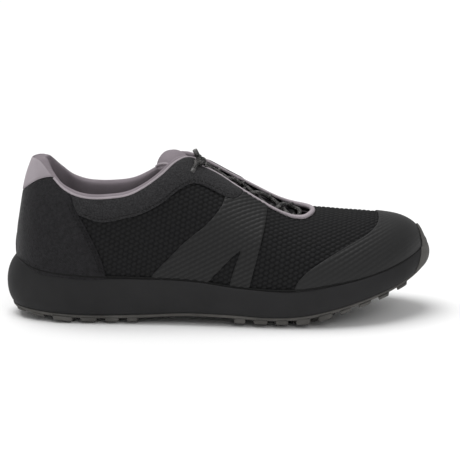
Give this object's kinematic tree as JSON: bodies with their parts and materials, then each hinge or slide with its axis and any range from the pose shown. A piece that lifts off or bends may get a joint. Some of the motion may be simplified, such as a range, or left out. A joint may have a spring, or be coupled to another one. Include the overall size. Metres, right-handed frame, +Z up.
{
  "type": "golf shoe",
  "caption": "Right-foot spikeless golf shoe: dark mesh upper with film overlays, padded collar, hinged tongue, elastic lace, lift-out insole, foam midsole and lugged rubber outsole.",
  "frame": {"origin": "centre of the bounding box's bottom face, on the ground the shoe stands on", "axes": "+X from heel to toe, +Y from the outer to the inner side of the foot, +Z up"},
  "size_m": [0.2998, 0.1052, 0.1247],
  "materials": {
    "midsole_foam": "matte moulded EVA foam",
    "outsole_rubber": "matte moulded rubber",
    "board": "stiff nonwoven board",
    "insole_foam": "open-cell foam",
    "insole_textile": "brushed knit",
    "mesh": "engineered mesh with raised cells",
    "backing_foam": "soft foam",
    "stiffener": "thermoformed sheet",
    "lining": "padded knit lining",
    "heel_leather": "fine-grain synthetic leather",
    "tab": "smooth microfibre",
    "collar_suede": "brushed microfibre",
    "film": "thin film over mesh",
    "piping": "ribbed edge binding",
    "tongue_textile": "fine knit",
    "lace": "braided elastic cord",
    "loop_webbing": "cord",
    "lace_tip": "heat-shrunk tip"
  },
  "bodies": {
    "shoe": {"midsole": "midsole_foam", "outsole": "outsole_rubber", "toe_bumper": "outsole_rubber", "strobel_board": "board", "vamp_mesh": "mesh", "vamp_backing": "backing_foam", "heel_counter": "stiffener", "toe_puff": "stiffener", "vamp_lining": "lining", "collar_foam": "backing_foam", "collar_lining": "lining", "heel_panel": "heel_leather", "heel_tab": "tab", "collar_panel_lateral": "collar_suede", "collar_panel_medial": "collar_suede", "toe_cap": "film", "saddle_lateral": "film", "saddle_medial": "film", "throat_piping": "piping", "collar_piping": "piping", "lace": "lace", "lace_loops_lateral": "loop_webbing", "lace_loops_medial": "loop_webbing", "lace_knot": "lace", "lace_ends": "lace", "lace_tips": "lace_tip"},
    "tongue": {"tongue_cover": "tongue_textile", "tongue_foam": "backing_foam", "tongue_lining": "lining", "tongue_binding": "piping"},
    "footbed": {"insole": "insole_foam", "insole_cover": "insole_textile"}
  },
  "joints": [
    {"name": "tongue_hinge", "type": "hinge", "parent": "shoe", "child": "tongue", "pos_m": [0.0535, 0, 0.066], "axis": [0, -1, 0], "range_deg": [0, 12], "stiffness_Nm_per_rad": 0.05},
    {"name": "insole_lift", "type": "hinge", "parent": "shoe", "child": "footbed", "pos_m": [0.134, 0.008, 0.043], "axis": [0, 1, 0], "range_deg": [0, 2.5]}
  ]
}
